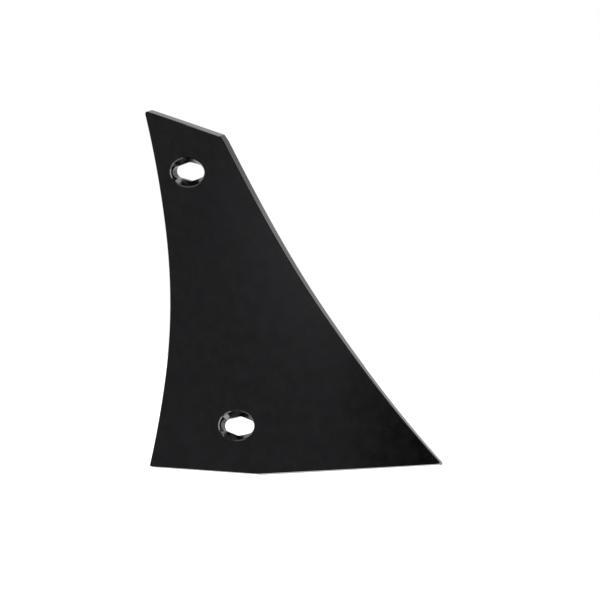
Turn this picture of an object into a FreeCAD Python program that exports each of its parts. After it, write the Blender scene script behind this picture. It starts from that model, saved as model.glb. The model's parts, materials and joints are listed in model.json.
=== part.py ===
import FreeCAD, Part
import math
import os
import Sketcher

# Mouldboard breast for a right-hand plough body, the plate that leads the soil from the share on to
# the mouldboard. It is one piece of steel: a blank is cut flat, its two bolt holes are countersunk,
# and the whole is pressed to a plain hollow bend, so every cut edge stands square to the curved face.
#
# Frame: origin on the working face, at the axis of the upper bolt hole. +X runs across the plate, along
# the bend's axis, to the leading edge. +Z is up, the working face looks to -Y, and the mouths of both
# bolt holes lie in the XZ plane. The plate is drawn with its face upright at the upper hole, so that
# the bend's axis is at that height, and the body's placement then leans it into the frame.
#
# Outline sizes are read on the flat blank, along the working face, from the upper bolt hole: "across"
# along X, and "rise" or "drop" along the bend.

NODE = "mouldboard_breast"

# Construction allowances in millimetres: how far a cutting shape starts clear of the plate, and how far
# the countersink's cone runs on inside the throat.
OVERRUN = 1.0
RUN_IN = 1.0

SIZES = [
    ("thickness", 10.0, "plate thickness"),
    ("bend_radius", 565.0, "radius of the hollow working face"),
    ("head_across", 40.0, "head corner of the seam edge, towards the mouldboard"),
    ("head_rise", 62.7, "head corner, above the upper bolt hole"),
    ("seam_run_across", 31.4, "where the straight upper run of the seam edge ends"),
    ("seam_run_drop", 58.7, "same point, below the upper bolt hole"),
    ("seam_foot_drop", 202.9, "where the straight lower run of the seam edge begins, below that hole"),
    ("heel_across", 34.6, "heel corner, where the seam edge meets the share edge"),
    ("heel_drop", 294.4, "heel corner, below the upper bolt hole"),
    ("shoulder_across", 41.1, "shoulder corner, where the top edge ends"),
    ("shoulder_rise", 33.2, "shoulder corner, above the upper bolt hole"),
    ("clip_across", 44.7, "lower end of the short clip on the shoulder"),
    ("clip_rise", 27.6, "same point, above the upper bolt hole"),
    ("shin_upper_across", 87.7, "a point half way along the upper curve of the leading edge"),
    ("shin_upper_drop", 57.6, "same point, below the upper bolt hole"),
    ("shin_join_across", 140.3, "where the two curves of the leading edge meet"),
    ("shin_join_drop", 134.9, "same point, below the upper bolt hole"),
    ("point_across", 264.1, "point of the breast, at the foot of the leading edge"),
    ("point_drop", 265.5, "same point, below the upper bolt hole"),
    ("share_bend_across", 85.2, "corner between the two straight runs of the share edge"),
    ("share_bend_drop", 290.6, "same corner, below the upper bolt hole"),
    ("head_corner_radius", 2.6, "rounding of the head corner"),
    ("heel_corner_radius", 1.8, "rounding of the heel corner"),
    ("point_corner_radius", 1.6, "rounding of the point"),
    ("lower_hole_across", 57.5, "lower bolt hole, towards the leading edge"),
    ("lower_hole_drop", 247.0, "lower bolt hole, below the upper one"),
    ("rim_half_length", 19.7, "oval mouth of a countersink, half its length across the plate"),
    ("rim_half_height", 14.1, "oval mouth of a countersink, half its height"),
    ("countersink_half_angle", 42.0, "slope of the countersink, from the bolt's axis"),
    ("throat_radius", 9.2, "round middle of the bolt hole"),
    ("nib_inset", 1.5, "tip of a nib slot, in from the end of the countersink's mouth"),
    ("nib_radius", 6.0, "rounded end of a nib slot"),
    ("rim_break", 0.7, "bevel round the countersink's mouth"),
    ("edge_break", 0.6, "bevel along the cut edges"),
]


def sheet_of_sizes(doc):
    """Driving dimensions in millimetres and degrees, one aliased cell each."""
    sheet = doc.addObject("Spreadsheet::Sheet", "Sizes")
    for row, (name, size, note) in enumerate(SIZES, start=1):
        sheet.set("A%d" % row, name)
        sheet.set("B%d" % row, str(size))
        sheet.set("C%d" % row, note)
        sheet.setAlias("B%d" % row, name)
    doc.recompute()
    return sheet


def number(obj, expression):
    """Present value of an expression, to give a sketch its starting shape."""
    result = obj.evalExpression(expression)
    return float(getattr(result, "Value", result))


def turn(height):
    """Expression for the angle, in degrees, that a height on the blank takes up on the bend."""
    return "(Sizes.%s / Sizes.bend_radius * 180 / pi)" % height


def body_plane(body, role):
    """One of the body's own origin planes."""
    return [item for item in body.Origin.OriginFeatures if item.Role == role][0]


def new_sketch(body, name, role):
    """Empty sketch lying in one of the body's origin planes."""
    sketch = body.newObject("Sketcher::SketchObject", name)
    sketch.AttachmentSupport = [(body_plane(body, role), "")]
    sketch.MapMode = "FlatFace"
    return sketch


def constrain(sketch, kind, *args):
    """Adds a constraint; a trailing text is the expression that drives its size."""
    if isinstance(args[-1], str):
        index = sketch.addConstraint(Sketcher.Constraint(kind, *args[:-1], number(sketch, args[-1])))
        sketch.setExpression("Constraints[%d]" % index, args[-1])
    else:
        sketch.addConstraint(Sketcher.Constraint(kind, *args))


# The cut outline. Its edges stand square to the bend, so they all run through the bend's axis. On a
# plane parallel to XZ at distance d from that axis, a point of the blank at height s therefore lies
# at d * tan(s / bend_radius). The plate is a loft between the outlines on two such planes, one ahead
# of the plate and one behind it.

FRONT = "Sizes.bend_radius"
BACK = "Sizes.bend_radius + Sizes.thickness"

CORNERS = {
    "head": ("head_across", -1, "head_rise", 1),
    "shoulder": ("shoulder_across", 1, "shoulder_rise", 1),
    "clip": ("clip_across", 1, "clip_rise", 1),
    "shin_upper": ("shin_upper_across", 1, "shin_upper_drop", -1),
    "shin_join": ("shin_join_across", 1, "shin_join_drop", -1),
    "point": ("point_across", 1, "point_drop", -1),
    "share_bend": ("share_bend_across", 1, "share_bend_drop", -1),
    "heel": ("heel_across", -1, "heel_drop", -1),
    "seam_run": ("seam_run_across", -1, "seam_run_drop", -1),
}


def level(height, distance):
    """Expression for how far from the X axis a height on the blank lies on one of these planes."""
    return "%s * tan%s" % (distance, turn(height))


def set_off(sketch, kind, side, vertex, size):
    """Fixes how far a vertex lies from the sketch's origin, on one side of it or the other."""
    origin = (-1, 1)
    first, second = (origin, vertex) if side > 0 else (vertex, origin)
    constrain(sketch, kind, *first, *second, size)


def place_point(sketch, corner, distance, vertex):
    """Fixes a vertex of the outline both ways."""
    across, side, height, up = CORNERS[corner]
    set_off(sketch, "DistanceX", side, vertex, "Sizes." + across)
    set_off(sketch, "DistanceY", up, vertex, level(height, distance))


def outline_sketch(body, name, distance, offset):
    """Outline on the plane at this distance from the bend's axis; offset is measured towards -Y."""
    sketch = new_sketch(body, name, "XZ_Plane")
    sketch.setExpression("AttachmentOffset.Base.z", offset)

    def at(corner):
        across, side, height, up = CORNERS[corner]
        return FreeCAD.Vector(side * number(sketch, "Sizes." + across),
                              up * number(sketch, level(height, distance)), 0)

    def bulged(start, end, bulge):
        """Point beside the middle of a chord, for an arc's starting shape."""
        chord = end - start
        return (start + end) * 0.5 + FreeCAD.Vector(chord.y, -chord.x, 0) * bulge

    head, shoulder, clip, join = at("head"), at("shoulder"), at("clip"), at("shin_join")
    point, bend, heel, run = at("point"), at("share_bend"), at("heel"), at("seam_run")
    foot = FreeCAD.Vector(run.x, -number(sketch, level("seam_foot_drop", distance)), 0)
    slight = 0.02
    shapes = [
        Part.LineSegment(head, shoulder),
        Part.LineSegment(shoulder, clip),
        Part.ArcOfCircle(clip, at("shin_upper"), join),
        Part.ArcOfCircle(join, bulged(join, point, slight), point),
        Part.LineSegment(point, bend),
        Part.LineSegment(bend, heel),
        Part.LineSegment(heel, foot),
        Part.ArcOfCircle(foot, bulged(foot, run, slight), run),
        Part.LineSegment(run, head),
        Part.Point(at("shin_upper")),
    ]
    top, clipped, upper_curve, lower_curve, fore, rear, seam_foot, seam_curve, seam_run, through = [
        sketch.addGeometry(shape, shape is shapes[-1]) for shape in shapes
    ]
    for first, second in [(top, clipped), (clipped, upper_curve), (lower_curve, fore),
                          (fore, rear), (rear, seam_foot), (seam_run, top)]:
        constrain(sketch, "Coincident", first, 2, second, 1)
    constrain(sketch, "Tangent", upper_curve, 2, lower_curve, 1)
    constrain(sketch, "Tangent", seam_foot, 2, seam_curve, 1)
    constrain(sketch, "Tangent", seam_curve, 2, seam_run, 1)
    set_off(sketch, "DistanceY", -1, (seam_foot, 2), level("seam_foot_drop", distance))
    for corner, line in [("head", top), ("shoulder", clipped), ("clip", upper_curve),
                         ("shin_join", lower_curve), ("point", fore), ("share_bend", rear),
                         ("heel", seam_foot), ("seam_run", seam_run)]:
        place_point(sketch, corner, distance, (line, 1))
    place_point(sketch, "shin_upper", distance, (through, 1))
    constrain(sketch, "PointOnObject", through, 1, upper_curve)
    return sketch


def pressed_plate(body):
    """Plate with square edges: the lofted outline, trimmed to the hollow and to the back face."""
    ahead = "(Sizes.bend_radius * (1 - cos%s) + Sizes.thickness)" % turn("heel_drop")
    behind = "(2 * Sizes.thickness)"
    front = outline_sketch(body, "OutlineAhead", "(Sizes.bend_radius - %s)" % ahead, ahead)
    back = outline_sketch(body, "OutlineBehind", "(Sizes.bend_radius + %s)" % behind, "-" + behind)
    block = body.newObject("PartDesign::AdditiveLoft", "LoftedOutline")
    block.Profile = front
    block.Sections = [back]
    block.Ruled = True

    hollow = new_sketch(body, "HollowSection", "YZ_Plane")
    face = half_round(hollow, FRONT)
    join(hollow, (face, 2), (face, 1))
    cut_across(body, "Hollow", hollow)

    rest = new_sketch(body, "BackSection", "YZ_Plane")
    inner = half_round(rest, BACK)
    outer = half_round(rest, "2 * Sizes.bend_radius")
    join(rest, (inner, 2), (outer, 2))
    join(rest, (inner, 1), (outer, 1))
    cut_across(body, "BackFace", rest)


def half_round(sketch, radius):
    """Half circle about the bend's axis, on the plate's side of it."""
    centre = FreeCAD.Vector(-number(sketch, FRONT), 0, 0)
    circle = Part.Circle(centre, FreeCAD.Vector(0, 0, 1), number(sketch, radius))
    circle.AngleXU = math.pi
    arc = sketch.addGeometry(Part.ArcOfCircle(circle, math.pi / 2, 3 * math.pi / 2))
    constrain(sketch, "DistanceX", arc, 3, -1, 1, FRONT)
    constrain(sketch, "PointOnObject", arc, 3, -1)
    constrain(sketch, "Radius", arc, radius)
    for end in (1, 2):
        constrain(sketch, "Vertical", arc, end, arc, 3)
    return arc


def join(sketch, first, second):
    """Straight line between two vertices."""
    ends = [sketch.getPoint(*first), sketch.getPoint(*second)]
    line = sketch.addGeometry(Part.LineSegment(*ends))
    constrain(sketch, "Coincident", line, 1, *first)
    constrain(sketch, "Coincident", line, 2, *second)


def cut_across(body, name, sketch):
    """Cuts a profile of the bend through the full width, both ways from the upper bolt hole."""
    cut = body.newObject("PartDesign::Pocket", name)
    cut.Profile = sketch
    cut.SideType = "Symmetric"
    cut.Type = "Length"
    cut.setExpression("Length", "4 * Sizes.point_across")


# Bolt holes. Each is square to the face where it lies: an oval countersink for the bolt's head, then
# a throat with a round middle and two nib slots along the bend's axis, which stop the bolt turning.

HOLES = {
    "Upper": None,
    "Lower": ("lower_hole_across", "lower_hole_drop"),
}


def hole_sketch(body, name, hole, depth):
    """Sketch square to the face at a bolt hole, this deep behind the working face."""
    sketch = new_sketch(body, name, "XZ_Plane")
    if HOLES[hole] is None:
        sketch.setExpression("AttachmentOffset.Base.z", "-(%s)" % depth)
        return sketch
    across, drop = HOLES[hole]
    lean = turn(drop)
    reach = "(Sizes.bend_radius + %s)" % depth
    sketch.AttachmentOffset = FreeCAD.Placement(
        FreeCAD.Vector(), FreeCAD.Rotation(FreeCAD.Vector(1, 0, 0), -number(sketch, lean)))
    sketch.setExpression("AttachmentOffset.Rotation.Angle", "-%s" % lean)
    sketch.setExpression("AttachmentOffset.Base.x", "Sizes." + across)
    sketch.setExpression("AttachmentOffset.Base.y", "-%s * sin%s" % (reach, lean))
    sketch.setExpression("AttachmentOffset.Base.z", "Sizes.bend_radius - %s * cos%s" % (reach, lean))
    return sketch


def oval(sketch, half_length, half_height):
    """Ellipse about the hole's axis, longer across the plate."""
    long_half = number(sketch, half_length)
    short_half = number(sketch, half_height)
    sketch.addGeometry(Part.Ellipse(FreeCAD.Vector(), long_half, short_half))
    sketch.exposeInternalGeometry(0)
    constrain(sketch, "Coincident", 0, 3, -1, 1)
    constrain(sketch, "Horizontal", 1)
    constrain(sketch, "Distance", 1, "2 * (%s)" % half_length)
    constrain(sketch, "Distance", 2, "2 * (%s)" % half_height)


def eye(sketch):
    """Round throat and two rounded nib slots, joined by flanks that touch all three circles."""
    throat = number(sketch, "Sizes.throat_radius")
    nib = number(sketch, "Sizes.nib_radius")
    reach = "Sizes.rim_half_length - Sizes.nib_inset - Sizes.nib_radius"
    spacing = number(sketch, reach)
    flank = math.acos((throat - nib) / spacing)
    axis = FreeCAD.Vector(0, 0, 1)

    def arc(across, radius, start, end):
        circle = Part.Circle(FreeCAD.Vector(across, 0, 0), axis, radius)
        return Part.ArcOfCircle(circle, start, end)

    arcs = [
        arc(spacing, nib, -flank, flank),
        arc(0, throat, flank, math.pi - flank),
        arc(-spacing, nib, math.pi - flank, math.pi + flank),
        arc(0, throat, math.pi + flank, 2 * math.pi - flank),
    ]
    for curve in arcs:
        sketch.addGeometry(curve)
    for index, curve in enumerate(arcs):
        following = (index + 1) % 4
        line = sketch.addGeometry(Part.LineSegment(curve.EndPoint, arcs[following].StartPoint))
        constrain(sketch, "Tangent", index, 2, line, 1)
        constrain(sketch, "Tangent", line, 2, following, 1)
    for index in (1, 3):
        constrain(sketch, "Coincident", index, 3, -1, 1)
        constrain(sketch, "Radius", index, "Sizes.throat_radius")
    for index in (0, 2):
        constrain(sketch, "PointOnObject", index, 3, -1)
        constrain(sketch, "Radius", index, "Sizes.nib_radius")
    constrain(sketch, "DistanceX", -1, 1, 0, 3, reach)
    constrain(sketch, "DistanceX", 2, 3, -1, 1, reach)


def bolt_hole(body, hole):
    """Countersink and throat at one bolt; the cone ends inside the throat, so no ledge is left."""
    slope = "tan(Sizes.countersink_half_angle)"
    flare = "%g * %s" % (OVERRUN, slope)
    narrowing = "(Sizes.rim_half_height - Sizes.throat_radius + %g)" % RUN_IN
    mouth = hole_sketch(body, hole + "Mouth", hole, "(-%g)" % OVERRUN)
    oval(mouth, "Sizes.rim_half_length + " + flare, "Sizes.rim_half_height + " + flare)
    seat = hole_sketch(body, hole + "Seat", hole, "%s / %s" % (narrowing, slope))
    oval(seat, "Sizes.rim_half_length - " + narrowing, "Sizes.rim_half_height - " + narrowing)
    countersink = body.newObject("PartDesign::SubtractiveLoft", hole + "Countersink")
    countersink.Profile = mouth
    countersink.Sections = [seat]
    countersink.Ruled = True

    opening = hole_sketch(body, hole + "Eye", hole, "(-%g)" % OVERRUN)
    eye(opening)
    throat = body.newObject("PartDesign::Pocket", hole + "Throat")
    throat.Profile = opening
    throat.Type = "Length"
    throat.setExpression("Length", "2 * Sizes.thickness + %g" % OVERRUN)


# Rounded corners and bevelled edges.

def dress_edges(body, kind, name, edges, measure, size):
    """Fillet or chamfer on these edges of the body's last feature."""
    base = body.Tip
    names = ["Edge%d" % index for index, edge in enumerate(base.Shape.Edges, start=1)
             if any(edge.isSame(chosen) for chosen in edges)]
    feature = body.newObject("PartDesign::" + kind, name)
    feature.Base = (base, names)
    feature.setExpression(measure, "Sizes." + size)
    body.Document.recompute()


def round_corner(body, corner):
    """Rounds the upright edge where two walls of the outline meet."""
    across, side, height, up = CORNERS[corner]
    bend_radius = number(body, "Sizes.bend_radius")
    middle = bend_radius + number(body, "Sizes.thickness") / 2
    angle = up * number(body, "Sizes." + height) / bend_radius
    spot = FreeCAD.Vector(side * number(body, "Sizes." + across),
                          middle * math.cos(angle) - bend_radius, middle * math.sin(angle))
    nearest = min(body.Tip.Shape.Edges, key=lambda edge: edge.CenterOfMass.distanceToPoint(spot))
    dress_edges(body, "Fillet", corner.capitalize() + "Corner", [nearest],
                "Radius", corner + "_corner_radius")


def curved_face(body, radius):
    """The face of the plate that lies at this distance from the bend's axis."""
    return max((face for face in body.Tip.Shape.Faces
                if isinstance(face.Surface, Part.Cylinder)
                and math.isclose(face.Surface.Radius, number(body, radius))),
               key=lambda face: face.Area)


def rim_edges(face):
    """Edges round the holes of a face."""
    return [edge for wire in face.Wires if not wire.isSame(face.OuterWire) for edge in wire.Edges]


def break_edges(body):
    """Bevels the mouths of the countersinks and both edges of the cut outline."""
    rims = rim_edges(curved_face(body, FRONT))
    dress_edges(body, "Chamfer", "CountersinkRims", rims, "Size", "rim_break")
    outline = curved_face(body, FRONT).OuterWire.Edges + curved_face(body, BACK).OuterWire.Edges
    dress_edges(body, "Chamfer", "OutlineEdges", outline, "Size", "edge_break")


def check(doc, body):
    """Stops before anything is written if a feature failed or the plate isn't one sound solid."""
    failed = [item.Name for item in doc.Objects if {"Invalid", "Error"} & set(item.State)]
    if failed:
        raise RuntimeError("failed features: " + ", ".join(failed))
    if body.Shape.isNull() or not body.Shape.isValid() or len(body.Shape.Solids) != 1:
        raise RuntimeError(NODE + " isn't one valid solid")


def main():
    doc = FreeCAD.newDocument("MouldboardBreast")
    sheet_of_sizes(doc)
    body = doc.addObject("PartDesign::Body", "Breast")
    body.Label = NODE
    body.Placement = FreeCAD.Placement(FreeCAD.Vector(), FreeCAD.Rotation(FreeCAD.Vector(1, 0, 0), 1))
    body.setExpression("Placement.Rotation.Angle", turn("lower_hole_drop") + " / 2")
    pressed_plate(body)
    doc.recompute()
    for corner in ("head", "heel", "point"):
        round_corner(body, corner)
    for hole in HOLES:
        bolt_hole(body, hole)
    doc.recompute()
    break_edges(body)
    check(doc, body)
    os.makedirs("parts", exist_ok=True)
    body.Shape.exportStep("parts/%s.step" % NODE)


main()
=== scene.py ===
import json
from math import cos, pi, radians, sin

import bpy
from bpy.props import FloatProperty, FloatVectorProperty, PointerProperty
from bpy.types import Operator, Panel, PropertyGroup
from mathutils import Matrix, Vector


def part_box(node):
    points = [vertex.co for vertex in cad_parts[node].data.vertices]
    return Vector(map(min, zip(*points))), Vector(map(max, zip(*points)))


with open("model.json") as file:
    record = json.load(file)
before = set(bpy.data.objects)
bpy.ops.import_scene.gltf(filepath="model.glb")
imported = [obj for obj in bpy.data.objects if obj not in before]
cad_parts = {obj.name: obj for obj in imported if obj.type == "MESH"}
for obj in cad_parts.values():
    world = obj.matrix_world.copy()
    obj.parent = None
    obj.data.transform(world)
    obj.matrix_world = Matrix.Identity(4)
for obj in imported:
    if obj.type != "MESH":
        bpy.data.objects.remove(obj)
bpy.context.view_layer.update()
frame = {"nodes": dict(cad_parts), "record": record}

bl_info = {
    "name": "Mouldboard Breast",
    "version": (1, 0, 0),
    "blender": (4, 5, 0),
    "location": "3D View > Sidebar > Breast",
    "description": "Paints a pressed mouldboard breast and stands a plain studio round it",
    "category": "Object",
}

PLATE = "mouldboard_breast"


# The bend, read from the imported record: both bolt holes point at the bend's axis.

def mount_of(name):
    """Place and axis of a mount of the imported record."""
    mount = next(item for item in frame["record"]["mounts"] if item["name"] == name)
    return Vector(mount["pos_m"]), Vector(mount["axis"])


def read_bend():
    """A point on the bend's axis, and the radius of the working face."""
    upper, upper_axis = mount_of("upper_bolt_hole")
    lower, _ = mount_of("lower_bolt_hole")
    radius = (upper.z - lower.z) / 2 / abs(upper_axis.z)
    return upper + upper_axis * radius, radius


BEND_CENTRE, BEND_RADIUS = read_bend()


class BreastPaintSettings(PropertyGroup):
    """Colour, gloss and grain of the black paint"""
    colour: FloatVectorProperty(
        name="Paint", description="Colour of the black paint", subtype="COLOR",
        default=(0.0007, 0.0007, 0.0008), min=0, max=1)
    cool_tone: FloatVectorProperty(
        name="Cool Tone", description="Colour of the paint where it lies a little thicker",
        subtype="COLOR", default=(0.0031, 0.0031, 0.0035), min=0, max=1)
    mottle_size: FloatProperty(
        name="Mottle Size", description="Width of the soft clouds of tone in the paint",
        unit="LENGTH", default=0.012, min=0.001)
    roughness: FloatProperty(
        name="Roughness", description="Roughness of the paint's gloss",
        subtype="FACTOR", default=0.11, min=0, max=1)
    roughness_spread: FloatProperty(
        name="Roughness Spread", description="How far the gloss differs from place to place",
        subtype="FACTOR", default=0.02, min=0, max=1)
    peel_size: FloatProperty(
        name="Peel Size", description="Width of the grains of orange peel in the sprayed paint",
        unit="LENGTH", default=0.0018, min=0.0001)
    peel_depth: FloatProperty(
        name="Peel Depth", description="Depth of the orange peel",
        unit="LENGTH", default=0.000036, min=0, precision=6)
    cut_depth: FloatProperty(
        name="Cut Mark Depth", description="Depth of the marks that the cutter left on the edges",
        unit="LENGTH", default=0.00001, min=0, precision=6)
    edge_radius: FloatProperty(
        name="Edge Rounding", description="How widely the coat of paint rounds off an edge",
        unit="LENGTH", default=0.0001, min=0, precision=5)


class BreastStageSettings(PropertyGroup):
    """Floor, backdrop, grey card and camera"""
    floor_gap: FloatProperty(
        name="Floor Gap", description="Height of the held plate above the floor",
        unit="LENGTH", default=0.45, min=0)
    floor_colour: FloatVectorProperty(
        name="Floor", description="Colour of the floor", subtype="COLOR",
        default=(0.80, 0.80, 0.80), min=0, max=1)
    floor_lift: FloatProperty(
        name="Floor Lift", description="Glow that brings the open floor to the backdrop's white",
        default=0.08, min=0)
    ambient: FloatProperty(
        name="Ambient", description="Strength of the light that the room gives from all sides",
        default=0.45, min=0)
    room: FloatProperty(
        name="Room", description="Brightness of the dim room in front, as it shows in the gloss",
        default=0.03, min=0)
    backdrop_low: FloatProperty(
        name="Backdrop Foot",
        description="Brightness of the backdrop near the floor, in the gloss",
        default=0.85, min=0)
    backdrop_high: FloatProperty(
        name="Backdrop Head", description="Brightness of the backdrop higher up, in the gloss",
        default=1.15, min=0)
    backdrop_tone: FloatVectorProperty(
        name="Backdrop Tone", description="Colour of the room and the backdrop, in the gloss",
        subtype="COLOR", default=(1.0, 1.0, 0.955), min=0, max=1)
    # The grey card glows by itself and no lamp lights it. Its glow is painted light and shade,
    # which the working face shows as painted reflections.
    card: FloatProperty(
        name="Grey Card", description="Brightness of the grey card that the working face mirrors",
        default=0.285, min=0)
    # The card's lit pool is a painted pool of light in its glow.
    pool: FloatProperty(
        name="Card Pool", description="Brightness of the lit pool on the grey card",
        default=0.735, min=0)
    # The card's pale borders are painted bands of light in its glow.
    border: FloatProperty(
        name="Card Borders",
        description="Brightness of the pale borders at the card's top and foot",
        default=1.5, min=0)
    lens: FloatProperty(
        name="Lens", description="Focal length on a sensor 36 mm wide",
        unit="CAMERA", default=60.0, min=10)
    azimuth: FloatProperty(
        name="Azimuth", description="How far the camera stands to the right of the plate's front",
        subtype="ANGLE", default=radians(25.77))
    elevation: FloatProperty(
        name="Elevation", description="How far the camera stands above the point that it looks at",
        subtype="ANGLE", default=radians(1.203))
    roll: FloatProperty(
        name="Roll", description="Turn of the camera about its line of sight",
        subtype="ANGLE", default=radians(0.529))
    distance: FloatProperty(
        name="Distance", description="From the camera to the point that it looks at",
        unit="LENGTH", default=0.9304, min=0.1)
    aim: FloatVectorProperty(
        name="Aim", description="Point that the camera looks at",
        subtype="XYZ", default=(0.12395, 0.00007, -0.12319))


# Node helpers.

VECTOR, COLOUR, FLOAT = "NodeSocketVector", "NodeSocketColor", "NodeSocketFloat"
WHITE = (1, 1, 1, 1)


def add_node(tree, kind, name, values=None, **settings):
    """A node with its plain settings and the values of its unlinked sockets."""
    node = tree.nodes.new(kind)
    node.name = node.label = name
    for key, value in settings.items():
        setattr(node, key, value)
    for socket, value in (values or {}).items():
        node.inputs[socket].default_value = value
    return node


def ramp(tree, name, span, low=0.0, high=1.0, smooth=True):
    """Map Range node that goes from low at the span's first value to high at its second."""
    values = {"From Min": span[0], "From Max": span[1], "To Min": low, "To Max": high}
    return add_node(tree, "ShaderNodeMapRange", name, values,
                    interpolation_type="SMOOTHSTEP" if smooth else "LINEAR")


def wire(tree, *pairs):
    """Links each output to its input."""
    for source, target in pairs:
        tree.links.new(source, target)


def empty_tree(owner):
    """Node tree of a new material or world, cleared of the nodes that it starts with."""
    owner.use_nodes = True
    owner.node_tree.nodes.clear()
    return owner.node_tree


def new_group(name, inputs, outputs):
    """Empty shader node group with named sockets."""
    group = bpy.data.node_groups.new(name, "ShaderNodeTree")
    for label, kind in inputs.items():
        group.interface.new_socket(label, in_out="INPUT", socket_type=kind)
    for label, kind in outputs.items():
        group.interface.new_socket(label, in_out="OUTPUT", socket_type=kind)
    into = add_node(group, "NodeGroupInput", "In")
    return group, into, add_node(group, "NodeGroupOutput", "Out")


# The paint.

ACROSS_BEND = (0, 1, 1)  # keeps the part of a vector that is square to the bend's axis
EDGE_FACING = (0.75, 0.35)  # how squarely a surface faces the axis, from no cut edge to all edge
CLOUD_NOISE = {"Detail": 5.0, "Roughness": 0.7}
CLOUD_TONES = (0.35, 0.65)  # noise values between the paint's two tones
CLOUD_GLOSS = (0.3, 0.7)  # noise values between the glossiest and the dullest paint
PEEL_NOISE = {"Detail": 2.0, "Roughness": 0.4}
MARK_NOISE = {"Detail": 2.0, "Roughness": 0.5}
MARK_SCALE = 900.0  # cutter's marks in a metre of edge
MARK_STRETCH = (1, 1, 0.05)  # across the plate, along its bend and through it
BEVEL_SAMPLES = 6
PAINT_GLOSS = {"Metallic": 0.0, "IOR": 1.5, "Specular IOR Level": 0.5}


def plate_coordinates_group():
    """Places across the plate, along its bend and through it, and where its cut edges are."""
    group, into, out = new_group(
        "PlateCoordinates",
        {"Position": VECTOR, "Normal": VECTOR, "Bend Centre": VECTOR, "Bend Radius": FLOAT},
        {"On Plate": VECTOR, "Cut Edge": FLOAT})
    from_axis = add_node(group, "ShaderNodeVectorMath", "FromAxis", operation="SUBTRACT")
    radial = add_node(group, "ShaderNodeVectorMath", "Radial", {1: ACROSS_BEND},
                      operation="MULTIPLY")
    parts = add_node(group, "ShaderNodeSeparateXYZ", "Parts")
    turn = add_node(group, "ShaderNodeMath", "Turn", operation="ARCTAN2")
    along = add_node(group, "ShaderNodeMath", "Along", operation="MULTIPLY")
    reach = add_node(group, "ShaderNodeVectorMath", "Reach", operation="LENGTH")
    depth = add_node(group, "ShaderNodeMath", "Depth", operation="SUBTRACT")
    place = add_node(group, "ShaderNodeCombineXYZ", "Place")
    outward = add_node(group, "ShaderNodeVectorMath", "Outward", operation="NORMALIZE")
    squareness = add_node(group, "ShaderNodeVectorMath", "Squareness", operation="DOT_PRODUCT")
    size = add_node(group, "ShaderNodeMath", "Size", operation="ABSOLUTE")
    edge = ramp(group, "Edge", EDGE_FACING)
    wire(group,
         (into.outputs["Position"], from_axis.inputs[0]),
         (into.outputs["Bend Centre"], from_axis.inputs[1]),
         (from_axis.outputs[0], radial.inputs[0]),
         (from_axis.outputs[0], parts.inputs[0]),
         (parts.outputs["Z"], turn.inputs[0]),
         (parts.outputs["Y"], turn.inputs[1]),
         (turn.outputs[0], along.inputs[0]),
         (into.outputs["Bend Radius"], along.inputs[1]),
         (radial.outputs[0], reach.inputs[0]),
         (reach.outputs["Value"], depth.inputs[0]),
         (into.outputs["Bend Radius"], depth.inputs[1]),
         (parts.outputs["X"], place.inputs["X"]),
         (along.outputs[0], place.inputs["Y"]),
         (depth.outputs[0], place.inputs["Z"]),
         (place.outputs[0], out.inputs["On Plate"]),
         (radial.outputs[0], outward.inputs[0]),
         (outward.outputs[0], squareness.inputs[0]),
         (into.outputs["Normal"], squareness.inputs[1]),
         (squareness.outputs["Value"], size.inputs[0]),
         (size.outputs[0], edge.inputs["Value"]),
         (edge.outputs[0], out.inputs["Cut Edge"]))
    return group


def sprayed_paint_group():
    """Soft clouds of tone, uneven gloss and the orange peel of sprayed paint."""
    group, into, out = new_group(
        "SprayedPaint",
        {"Vector": VECTOR, "Colour": COLOUR, "Cool Tone": COLOUR, "Mottle Scale": FLOAT,
         "Peel Scale": FLOAT, "Roughness": FLOAT, "Roughness Spread": FLOAT},
        {"Colour": COLOUR, "Roughness": FLOAT, "Peel": FLOAT})
    clouds = add_node(group, "ShaderNodeTexNoise", "Clouds", CLOUD_NOISE)
    tone = ramp(group, "Tone", CLOUD_TONES, smooth=False)
    colour = add_node(group, "ShaderNodeMix", "Blend", data_type="RGBA")
    spread = ramp(group, "Spread", CLOUD_GLOSS, -1.0, 1.0, smooth=False)
    gloss = add_node(group, "ShaderNodeMath", "Gloss", operation="MULTIPLY_ADD")
    peel = add_node(group, "ShaderNodeTexNoise", "Peel", PEEL_NOISE)
    wire(group,
         (into.outputs["Vector"], clouds.inputs["Vector"]),
         (into.outputs["Mottle Scale"], clouds.inputs["Scale"]),
         (clouds.outputs["Fac"], tone.inputs["Value"]),
         (tone.outputs[0], colour.inputs["Factor"]),
         (into.outputs["Colour"], colour.inputs["A"]),
         (into.outputs["Cool Tone"], colour.inputs["B"]),
         (colour.outputs["Result"], out.inputs["Colour"]),
         (clouds.outputs["Fac"], spread.inputs["Value"]),
         (spread.outputs[0], gloss.inputs[0]),
         (into.outputs["Roughness Spread"], gloss.inputs[1]),
         (into.outputs["Roughness"], gloss.inputs[2]),
         (gloss.outputs[0], out.inputs["Roughness"]),
         (into.outputs["Vector"], peel.inputs["Vector"]),
         (into.outputs["Peel Scale"], peel.inputs["Scale"]),
         (peel.outputs["Fac"], out.inputs["Peel"]))
    return group


def cut_marks_group():
    """Fine marks of the cutter, which run straight through the plate along its cut edges."""
    group, into, out = new_group(
        "CutMarks", {"On Plate": VECTOR, "Mark Scale": FLOAT}, {"Marks": FLOAT})
    stretched = add_node(group, "ShaderNodeVectorMath", "Stretched", {1: MARK_STRETCH},
                         operation="MULTIPLY")
    marks = add_node(group, "ShaderNodeTexNoise", "Marks", MARK_NOISE)
    wire(group,
         (into.outputs["On Plate"], stretched.inputs[0]),
         (stretched.outputs[0], marks.inputs["Vector"]),
         (into.outputs["Mark Scale"], marks.inputs["Scale"]),
         (marks.outputs["Fac"], out.inputs["Marks"]))
    return group


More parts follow.
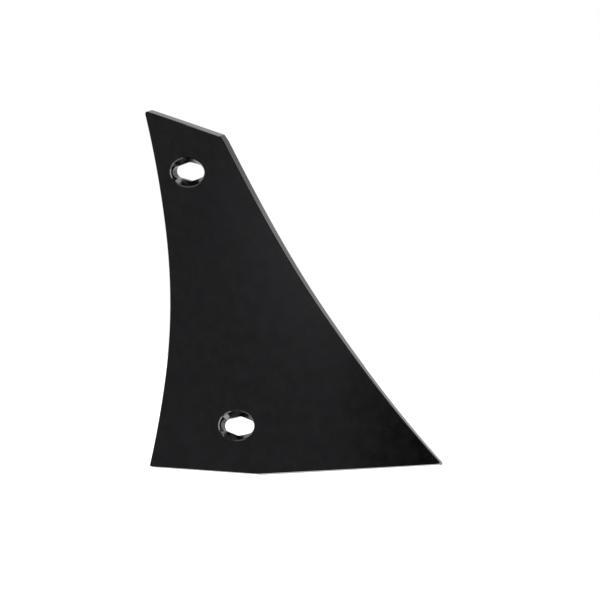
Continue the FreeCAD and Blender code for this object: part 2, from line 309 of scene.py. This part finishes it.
def black_paint_material(settings):
    """Glossy black paint over the pressed plate and its cut edges."""
    material = bpy.data.materials.new("black_paint")
    tree = empty_tree(material)
    place = add_node(tree, "ShaderNodeTexCoord", "Place")
    shape = add_node(tree, "ShaderNodeNewGeometry", "Shape")
    plate = add_node(
        tree, "ShaderNodeGroup", "Plate",
        {"Bend Centre": BEND_CENTRE, "Bend Radius": BEND_RADIUS},
        node_tree=plate_coordinates_group())
    paint = add_node(
        tree, "ShaderNodeGroup", "Paint",
        {"Colour": (*settings.colour, 1), "Cool Tone": (*settings.cool_tone, 1),
         "Mottle Scale": 1 / settings.mottle_size, "Peel Scale": 1 / settings.peel_size,
         "Roughness": settings.roughness, "Roughness Spread": settings.roughness_spread},
        node_tree=sprayed_paint_group())
    marks = add_node(tree, "ShaderNodeGroup", "Cut", {"Mark Scale": MARK_SCALE},
                     node_tree=cut_marks_group())
    on_edges = add_node(tree, "ShaderNodeMath", "OnEdges", operation="MULTIPLY")
    rounded = add_node(tree, "ShaderNodeBevel", "Rounded", {"Radius": settings.edge_radius},
                       samples=BEVEL_SAMPLES)
    cut = add_node(tree, "ShaderNodeBump", "CutBump", {"Distance": settings.cut_depth})
    peel = add_node(tree, "ShaderNodeBump", "PeelBump", {"Distance": settings.peel_depth})
    surface = add_node(tree, "ShaderNodeBsdfPrincipled", "Paint Surface", PAINT_GLOSS)
    out = add_node(tree, "ShaderNodeOutputMaterial", "Output")
    wire(tree,
         (place.outputs["Object"], plate.inputs["Position"]),
         (shape.outputs["Normal"], plate.inputs["Normal"]),
         (place.outputs["Object"], paint.inputs["Vector"]),
         (plate.outputs["On Plate"], marks.inputs["On Plate"]),
         (marks.outputs["Marks"], on_edges.inputs[0]),
         (plate.outputs["Cut Edge"], on_edges.inputs[1]),
         (on_edges.outputs[0], cut.inputs["Height"]),
         (rounded.outputs["Normal"], cut.inputs["Normal"]),
         (paint.outputs["Peel"], peel.inputs["Height"]),
         (cut.outputs["Normal"], peel.inputs["Normal"]),
         (paint.outputs["Colour"], surface.inputs["Base Color"]),
         (paint.outputs["Roughness"], surface.inputs["Roughness"]),
         (peel.outputs["Normal"], surface.inputs["Normal"]),
         (surface.outputs["BSDF"], out.inputs["Surface"]))
    return material


class BREAST_OT_paint_plate(Operator):
    """Coats the pressed plate with glossy black paint"""
    bl_idname = "breast.paint_plate"
    bl_label = "Paint Plate"

    def execute(self, context):
        plate = frame["nodes"][PLATE]
        plate.material_slots[0].material = black_paint_material(context.scene.breast_paint)
        return {"FINISHED"}


# Placing things round the plate.

def direction(azimuth, elevation):
    """Unit vector from the plate; azimuth 0 is its front, and 90 degrees is on its right."""
    return Vector((sin(azimuth) * cos(elevation), -cos(azimuth) * cos(elevation), sin(elevation)))


def facing(azimuth, elevation, target, distance, roll=0.0):
    """Placement at that distance from the target, looking back at it along local -Z."""
    turn = Matrix.Rotation(azimuth, 4, "Z") @ Matrix.Rotation(pi / 2 - elevation, 4, "X")
    place = Matrix.Translation(target + direction(azimuth, elevation) * distance)
    return place @ turn @ Matrix.Rotation(roll, 4, "Z")


def put_in_scene(item):
    """Links a new object into the scene."""
    bpy.context.scene.collection.objects.link(item)


def flat_panel(name, width, height):
    """Rectangle about its own origin, in its own XY plane."""
    across, up = width / 2, height / 2
    mesh = bpy.data.meshes.new(name)
    mesh.from_pydata([(-across, -up, 0), (across, -up, 0), (across, up, 0), (-across, up, 0)],
                     [], [(0, 1, 2, 3)])
    panel = bpy.data.objects.new(name, mesh)
    put_in_scene(panel)
    return panel


def either(tree, name, first, second):
    """One where either mask is one."""
    node = add_node(tree, "ShaderNodeMath", name, operation="MAXIMUM")
    wire(tree, (first, node.inputs[0]), (second, node.inputs[1]))
    return node.outputs[0]


# The room. A direction's Z is the sine of its height, and its Y grows towards the back.

BACKDROP_RISE = (0.05, 0.45)  # Z between the backdrop's foot and its head
ROOM_TO_BACKDROP = (-0.35, 0.2)  # Y between the dim room and the backdrop


def white_room(scene, settings):
    """White backdrop, a little brighter higher up, with a dim room in front of it."""
    world = bpy.data.worlds.new("WhiteRoom")
    scene.world = world
    tree = empty_tree(world)
    path = add_node(tree, "ShaderNodeLightPath", "Path")
    seen = either(tree, "Seen", path.outputs["Is Camera Ray"], path.outputs["Is Transmission Ray"])
    strength = ramp(tree, "Strength", (0.0, 1.0), settings.ambient, 1.0, smooth=False)
    where = add_node(tree, "ShaderNodeTexCoord", "Where")
    sides = add_node(tree, "ShaderNodeSeparateXYZ", "Sides")
    backdrop = ramp(tree, "Backdrop", BACKDROP_RISE, settings.backdrop_low,
                    settings.backdrop_high, smooth=False)
    room = ramp(tree, "Room", ROOM_TO_BACKDROP, settings.room)
    choice = add_node(tree, "ShaderNodeMix", "Choice", data_type="FLOAT")
    tone = add_node(tree, "ShaderNodeMix", "Tone",
                    {"A": WHITE, "B": (*settings.backdrop_tone, 1)}, data_type="RGBA")
    light = add_node(tree, "ShaderNodeBackground", "Light")
    out = add_node(tree, "ShaderNodeOutputWorld", "Output")
    wire(tree,
         (seen, strength.inputs["Value"]),
         (where.outputs["Generated"], sides.inputs[0]),
         (sides.outputs["Z"], backdrop.inputs["Value"]),
         (sides.outputs["Y"], room.inputs["Value"]),
         (backdrop.outputs[0], room.inputs["To Max"]),
         (path.outputs["Is Glossy Ray"], choice.inputs["Factor"]),
         (strength.outputs[0], choice.inputs["A"]),
         (room.outputs[0], choice.inputs["B"]),
         (choice.outputs["Result"], light.inputs["Strength"]),
         (path.outputs["Is Glossy Ray"], tone.inputs["Factor"]),
         (tone.outputs["Result"], light.inputs["Color"]),
         (light.outputs[0], out.inputs["Surface"]))


# The floor, in metres from the point below the plate's origin.

FLOOR_SIDE = 12.0
FLOOR_GLOW_REACH = (0.4, 2.0)  # from the shadow under the plate to the white floor far off
FLOOR_FRONT = (0.2, -0.1)  # Y between the pale floor and the dim one in front


def floor_material(settings):
    """Pale floor that keeps shadows, white far off, and dim in front as the gloss shows it."""
    material = bpy.data.materials.new("pale_floor")
    tree = empty_tree(material)
    path = add_node(tree, "ShaderNodeLightPath", "Path")
    seen = either(tree, "Seen", path.outputs["Is Camera Ray"], path.outputs["Is Glossy Ray"])
    shown = either(tree, "Shown", seen, path.outputs["Is Transmission Ray"])
    place = add_node(tree, "ShaderNodeTexCoord", "Place")
    away = add_node(tree, "ShaderNodeVectorMath", "Away", operation="LENGTH")
    glow = ramp(tree, "Glow", FLOOR_GLOW_REACH, settings.floor_lift, 1.0)
    lift = add_node(tree, "ShaderNodeMath", "Lift", operation="MULTIPLY")
    sides = add_node(tree, "ShaderNodeSeparateXYZ", "Sides")
    front = ramp(tree, "Front", FLOOR_FRONT)
    mirrored = add_node(tree, "ShaderNodeMath", "Mirrored", operation="MULTIPLY")
    dim = add_node(tree, "ShaderNodeEmission", "Dim Floor",
                   {"Color": WHITE, "Strength": settings.room})
    choice = add_node(tree, "ShaderNodeMixShader", "Choice")
    surface = add_node(tree, "ShaderNodeBsdfPrincipled", "Floor Surface",
                       {"Base Color": (*settings.floor_colour, 1), "Roughness": 1.0,
                        "Specular IOR Level": 0.0, "Emission Color": WHITE})
    out = add_node(tree, "ShaderNodeOutputMaterial", "Output")
    wire(tree,
         (place.outputs["Object"], away.inputs[0]),
         (away.outputs["Value"], glow.inputs["Value"]),
         (glow.outputs[0], lift.inputs[0]),
         (shown, lift.inputs[1]),
         (lift.outputs[0], surface.inputs["Emission Strength"]),
         (place.outputs["Object"], sides.inputs[0]),
         (sides.outputs["Y"], front.inputs["Value"]),
         (front.outputs[0], mirrored.inputs[0]),
         (path.outputs["Is Glossy Ray"], mirrored.inputs[1]),
         (mirrored.outputs[0], choice.inputs["Fac"]),
         (surface.outputs["BSDF"], choice.inputs[1]),
         (dim.outputs[0], choice.inputs[2]),
         (choice.outputs[0], out.inputs["Surface"]))
    return material


def lay_floor(settings, plate_foot):
    """Level floor under the held plate."""
    floor = flat_panel("Floor", FLOOR_SIDE, FLOOR_SIDE)
    floor.location = (0, 0, plate_foot - settings.floor_gap)
    floor.data.materials.append(floor_material(settings))


# The softboxes, in degrees and metres from the plate's middle.

SOFTBOXES = {
    "BackSoftbox": {"azimuth": 150, "elevation": 12, "distance": 1.8,
                    "width": 0.8, "height": 1.3, "brightness": 0.5},
    "TopSoftbox": {"azimuth": 190, "elevation": 78, "distance": 1.6,
                   "width": 1.6, "height": 1.1, "brightness": 2.8},
    "SideSoftbox": {"azimuth": 10, "elevation": 1, "distance": 1.0,
                    "width": 0.26, "height": 1.3, "brightness": 6.5},
    "KeySoftbox": {"azimuth": 8, "elevation": 59, "distance": 1.6,
                   "width": 0.84, "height": 0.42, "brightness": 5.5},
    "LowSoftbox": {"azimuth": 18, "elevation": -65, "distance": 0.6,
                   "width": 0.22, "height": 0.15, "brightness": 7.0},
    "LeftLowSoftbox": {"azimuth": -3, "elevation": -38, "distance": 0.75,
                       "width": 0.45, "height": 0.19, "brightness": 3.2},
    "FarLowSoftbox": {"azimuth": -36, "elevation": -46, "distance": 0.75,
                      "width": 0.42, "height": 0.14, "brightness": 2.6},
}


def hang_softbox(name, target, azimuth, elevation, distance, width, height, brightness):
    """Rectangular lamp of even brightness, turned to the plate."""
    lamp = bpy.data.lights.new(name, "AREA")
    lamp.shape = "RECTANGLE"
    lamp.size = width
    lamp.size_y = height
    lamp.energy = brightness * width * height * pi
    light = bpy.data.objects.new(name, lamp)
    light.matrix_world = facing(radians(azimuth), radians(elevation), target, distance)
    light.visible_camera = False
    put_in_scene(light)


# The glowing grey card, with its painted pool of light, painted shade and painted borders, in
# metres from its middle: X to the right for one who looks at the plate, Y up.

CARD_WIDTH, CARD_HEIGHT = 1.7, 2.4
CARD_AZIMUTH = radians(-30)
CARD_DISTANCE = 1.0
CARD_TINT = (0.94, 0.94, 1, 1)
PAINTED_POOL_CENTRE = (0.189, -0.145, 0)
PAINTED_POOL_WIDTH, PAINTED_POOL_HEIGHT = 0.337, 0.268  # from the centre of the painted pool of light to its rim
CARD_PAINTED_SHADE_FADE = (0.37, 0.12)  # X between the card's painted dark side and its grey glow
PAINTED_BORDER_FADE = (0.42, 0.52)  # height above or below the middle where a painted bright border sets in


def grey_card_material(settings):
    """Glow of the card, which no lamp lights: a painted pool of light, a side that fades to
    painted shade, and pale borders of painted light.
    """
    material = bpy.data.materials.new("grey_card")
    tree = empty_tree(material)
    place = add_node(tree, "ShaderNodeTexCoord", "Place")
    off_pool = add_node(tree, "ShaderNodeVectorMath", "OffPool", {1: PAINTED_POOL_CENTRE},
                        operation="SUBTRACT")
    scaled = add_node(tree, "ShaderNodeVectorMath", "Scaled",
                      {1: (1 / PAINTED_POOL_WIDTH, 1 / PAINTED_POOL_HEIGHT, 1)}, operation="MULTIPLY")
    away = add_node(tree, "ShaderNodeVectorMath", "Away", operation="LENGTH")
    pool = ramp(tree, "Pool", (0.0, 1.0), settings.pool, settings.card)
    sides = add_node(tree, "ShaderNodeSeparateXYZ", "Sides")
    side = ramp(tree, "Side", CARD_PAINTED_SHADE_FADE)
    both = add_node(tree, "ShaderNodeMath", "Both", operation="MULTIPLY")
    height = add_node(tree, "ShaderNodeMath", "Height", operation="ABSOLUTE")
    border = ramp(tree, "Border", PAINTED_BORDER_FADE, 0.0, settings.border)
    total = add_node(tree, "ShaderNodeMath", "Total", operation="ADD")
    glow = add_node(tree, "ShaderNodeEmission", "Glow", {"Color": CARD_TINT})
    out = add_node(tree, "ShaderNodeOutputMaterial", "Output")
    wire(tree,
         (place.outputs["Object"], off_pool.inputs[0]),
         (off_pool.outputs[0], scaled.inputs[0]),
         (scaled.outputs[0], away.inputs[0]),
         (away.outputs["Value"], pool.inputs["Value"]),
         (place.outputs["Object"], sides.inputs[0]),
         (sides.outputs["X"], side.inputs["Value"]),
         (pool.outputs[0], both.inputs[0]),
         (side.outputs[0], both.inputs[1]),
         (sides.outputs["Y"], height.inputs[0]),
         (height.outputs[0], border.inputs["Value"]),
         (both.outputs[0], total.inputs[0]),
         (border.outputs[0], total.inputs[1]),
         (total.outputs[0], glow.inputs["Strength"]),
         (glow.outputs[0], out.inputs["Surface"]))
    return material


def stand_card(settings, target):
    """Glowing card in front of the plate, seen only in the gloss of its working face as a painted
    reflection.
    """
    card = flat_panel("GreyCard", CARD_WIDTH, CARD_HEIGHT)
    card.matrix_world = facing(CARD_AZIMUTH, 0.0, target, CARD_DISTANCE)
    card.data.materials.append(grey_card_material(settings))
    card.visible_camera = False
    card.visible_diffuse = False
    card.visible_shadow = False
    card.visible_transmission = False


# The camera.

SENSOR_WIDTH = 36  # millimetres
VIEW_DEPTH = 50  # metres


def place_camera(scene, settings):
    """Camera at the photograph's angle."""
    camera = bpy.data.cameras.new("Camera")
    camera.sensor_width = SENSOR_WIDTH
    camera.lens = settings.lens
    camera.clip_end = VIEW_DEPTH
    view = bpy.data.objects.new("Camera", camera)
    view.matrix_world = facing(settings.azimuth, settings.elevation, Vector(settings.aim),
                               settings.distance, settings.roll)
    put_in_scene(view)
    scene.camera = view


class BREAST_OT_set_stage(Operator):
    """Lays a pale floor, hangs the softboxes and places the camera"""
    bl_idname = "breast.set_stage"
    bl_label = "Set Stage"

    def execute(self, context):
        scene = context.scene
        settings = scene.breast_stage
        low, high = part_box(PLATE)
        middle = (low + high) / 2
        scene.view_settings.view_transform = "Standard"
        white_room(scene, settings)
        lay_floor(settings, low.z)
        for name, place in SOFTBOXES.items():
            hang_softbox(name, middle, **place)
        stand_card(settings, middle)
        place_camera(scene, settings)
        return {"FINISHED"}


class BREAST_PT_panel(Panel):
    """Steps and settings of the mouldboard breast"""
    bl_idname = "BREAST_PT_panel"
    bl_label = "Mouldboard Breast"
    bl_space_type = "VIEW_3D"
    bl_region_type = "UI"
    bl_category = "Breast"

    def draw(self, context):
        for step, settings in ((BREAST_OT_paint_plate, context.scene.breast_paint),
                               (BREAST_OT_set_stage, context.scene.breast_stage)):
            box = self.layout.box()
            box.operator(step.bl_idname)
            for name in type(settings).__annotations__:
                box.prop(settings, name)


CLASSES = (
    BreastPaintSettings,
    BreastStageSettings,
    BREAST_OT_paint_plate,
    BREAST_OT_set_stage,
    BREAST_PT_panel,
)


def register():
    for item in CLASSES:
        bpy.utils.register_class(item)
    bpy.types.Scene.breast_paint = PointerProperty(type=BreastPaintSettings)
    bpy.types.Scene.breast_stage = PointerProperty(type=BreastStageSettings)


def unregister():
    del bpy.types.Scene.breast_stage
    del bpy.types.Scene.breast_paint
    for item in reversed(CLASSES):
        bpy.utils.unregister_class(item)


def main():
    register()
    bpy.ops.breast.paint_plate()
    bpy.ops.breast.set_stage()


if __name__ == "__main__":
    main()
